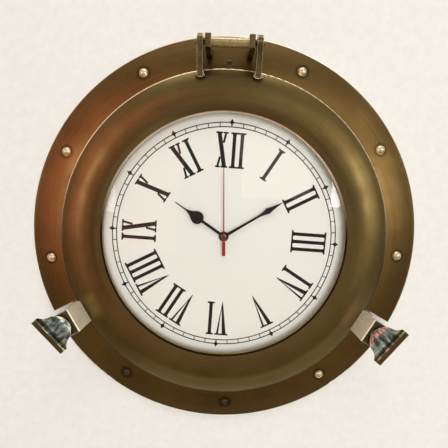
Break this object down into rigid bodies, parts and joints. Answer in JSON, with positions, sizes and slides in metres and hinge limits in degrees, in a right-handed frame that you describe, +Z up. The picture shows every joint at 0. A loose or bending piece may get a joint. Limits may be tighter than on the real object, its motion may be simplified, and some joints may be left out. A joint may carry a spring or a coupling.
{
  "type": "porthole deck clock",
  "caption": "Round brass porthole clock with a hinged glazed door, two swing bolts with fan-shaped thumb nuts, a white Roman dial and a quartz movement.",
  "frame": {"origin": "on the clock's axis, in the plane of the wall it hangs on", "axes": "+Z up; +X to the right of someone facing the clock; +Y into the wall, so the dial looks along -Y"},
  "size_m": [0.381, 0.0732, 0.381],
  "materials": {
    "aged_brass": "aged antique brass with fine turned marks",
    "hinge_brass": "aged brass, rubbed brighter on the edges",
    "ear_brass": "brass, filed to a bright satin",
    "polished_brass": "polished brass",
    "case_brass": "spun brass sheet, satin",
    "cover_steel": "black painted steel, satin",
    "screw_steel": "dark steel",
    "glass": "clear polished glass",
    "rubber": "matte black rubber",
    "dial_enamel": "warm white satin paint",
    "hand_black": "black satin paint",
    "hand_red": "red satin paint",
    "movement_plastic": "black moulded plastic",
    "gear_plastic": "white moulded plastic",
    "magnet_iron": "plain iron",
    "copper_wire": "enamelled copper wire",
    "board_green": "green board",
    "bright_metal": "bright plated spring metal",
    "battery_wrap": "plain wrapped cell"
  },
  "bodies": {
    "porthole": {"flange_ring": "aged_brass", "hinge_lug_left": "hinge_brass", "hinge_lug_right": "hinge_brass", "hinge_spacer_tube": "hinge_brass", "hinge_pin": "hinge_brass", "dog_bracket_left": "hinge_brass", "dog_bracket_right": "hinge_brass", "dog_pin_left": "hinge_brass", "dog_pin_right": "hinge_brass", "flange_rivets": "hinge_brass", "stem_washer": "polished_brass", "stem_nut": "polished_brass", "rear_case": "case_brass", "back_cover": "cover_steel", "hanger_plate": "cover_steel", "flange_screws": "screw_steel", "dog_bracket_screws": "screw_steel", "back_cover_screws": "screw_steel", "dial_screws": "screw_steel", "hanger_rivets": "screw_steel", "door_seal": "rubber", "rubber_washer": "rubber", "dial_plate": "dial_enamel", "movement_case": "movement_plastic", "movement_lid": "movement_plastic", "middle_plate": "gear_plastic", "stator": "magnet_iron", "coil_core": "magnet_iron", "coil_winding": "copper_wire", "circuit_board": "board_green", "contact_positive": "bright_metal", "contact_negative": "bright_metal", "crystal": "bright_metal", "battery": "battery_wrap"},
    "door": {"door_ring": "aged_brass", "hinge_arm_left": "hinge_brass", "hinge_arm_right": "hinge_brass", "dog_ear_left": "ear_brass", "dog_ear_right": "ear_brass", "glass_lens": "glass", "glass_gasket": "rubber", "glass_retainer": "case_brass", "retainer_screws": "screw_steel"},
    "dog_left": {"swing_bolt_left": "hinge_brass"},
    "dog_right": {"swing_bolt_right": "hinge_brass"},
    "nut_left": {"thumb_nut_left": "polished_brass"},
    "nut_right": {"thumb_nut_right": "polished_brass"},
    "hour_body": {"hour_wheel": "gear_plastic", "hour_hand": "hand_black"},
    "minute_body": {"minute_arbor": "bright_metal", "minute_hand": "hand_black"},
    "centre_body": {"centre_wheel": "gear_plastic"},
    "second_body": {"second_wheel": "gear_plastic", "second_hand": "hand_red"},
    "rotor_body": {"rotor": "magnet_iron"},
    "intermediate_body": {"intermediate_wheel": "gear_plastic"},
    "third_body": {"third_wheel": "gear_plastic"},
    "motion_body": {"minute_wheel": "gear_plastic"},
    "knob_body": {"set_knob": "movement_plastic"}
  },
  "joints": [
    {"name": "door_hinge", "type": "hinge", "parent": "porthole", "child": "door", "pos_m": [0, -0.038, 0.171], "axis": [-1, 0, 0], "range_deg": [0, 110]},
    {"name": "dog_left_swing", "type": "hinge", "parent": "porthole", "child": "dog_left", "pos_m": [-0.14203, -0.0095, -0.082], "axis": [0.5, 0, -0.866], "range_deg": [0, 85]},
    {"name": "nut_left_turn", "type": "hinge", "parent": "dog_left", "child": "nut_left", "pos_m": [-0.14203, -0.055, -0.082], "axis": [0, -1, 0], "range_deg": [0, 720]},
    {"name": "dog_right_swing", "type": "hinge", "parent": "porthole", "child": "dog_right", "pos_m": [0.14203, -0.0095, -0.082], "axis": [0.5, 0, 0.866], "range_deg": [0, 85]},
    {"name": "nut_right_turn", "type": "hinge", "parent": "dog_right", "child": "nut_right", "pos_m": [0.14203, -0.055, -0.082], "axis": [0, -1, 0], "range_deg": [0, 720]},
    {"name": "minute_turn", "type": "hinge", "parent": "porthole", "child": "minute_body", "pos_m": [0, -0.012, 0], "axis": [0, 1, 0], "continuous": true},
    {"name": "hour_turn", "type": "hinge", "parent": "porthole", "child": "hour_body", "pos_m": [0, -0.012, 0], "axis": [0, 1, 0], "continuous": true},
    {"name": "second_turn", "type": "hinge", "parent": "porthole", "child": "second_body", "pos_m": [0, -0.012, 0], "axis": [0, 1, 0], "continuous": true},
    {"name": "centre_turn", "type": "hinge", "parent": "porthole", "child": "centre_body", "pos_m": [0, -0.012, 0], "axis": [0, 1, 0], "continuous": true},
    {"name": "third_turn", "type": "hinge", "parent": "porthole", "child": "third_body", "pos_m": [0.0115, -0.012, 0.00419], "axis": [0, 1, 0], "continuous": true},
    {"name": "intermediate_turn", "type": "hinge", "parent": "porthole", "child": "intermediate_body", "pos_m": [-0.00335, -0.012, -0.00921], "axis": [0, 1, 0], "continuous": true},
    {"name": "rotor_turn", "type": "hinge", "parent": "porthole", "child": "rotor_body", "pos_m": [-0.01039, -0.012, -0.00771], "axis": [0, 1, 0], "continuous": true},
    {"name": "motion_turn", "type": "hinge", "parent": "porthole", "child": "motion_body", "pos_m": [-0.00831, -0.012, 0.0048], "axis": [0, 1, 0], "continuous": true},
    {"name": "set_knob_turn", "type": "hinge", "parent": "porthole", "child": "knob_body", "pos_m": [-0.01767, -0.012, 0.0102], "axis": [0, 1, 0], "continuous": true}
  ],
  "couplings": [
    {"joint": "hour_turn", "follows": "minute_turn", "ratio": 0.083333},
    {"joint": "motion_turn", "follows": "minute_turn", "ratio": -0.33333},
    {"joint": "set_knob_turn", "follows": "minute_turn", "ratio": 0.66667},
    {"joint": "centre_turn", "follows": "second_turn", "ratio": 0.016667},
    {"joint": "third_turn", "follows": "second_turn", "ratio": -0.125},
    {"joint": "intermediate_turn", "follows": "second_turn", "ratio": -6},
    {"joint": "rotor_turn", "follows": "second_turn", "ratio": 30}
  ]
}
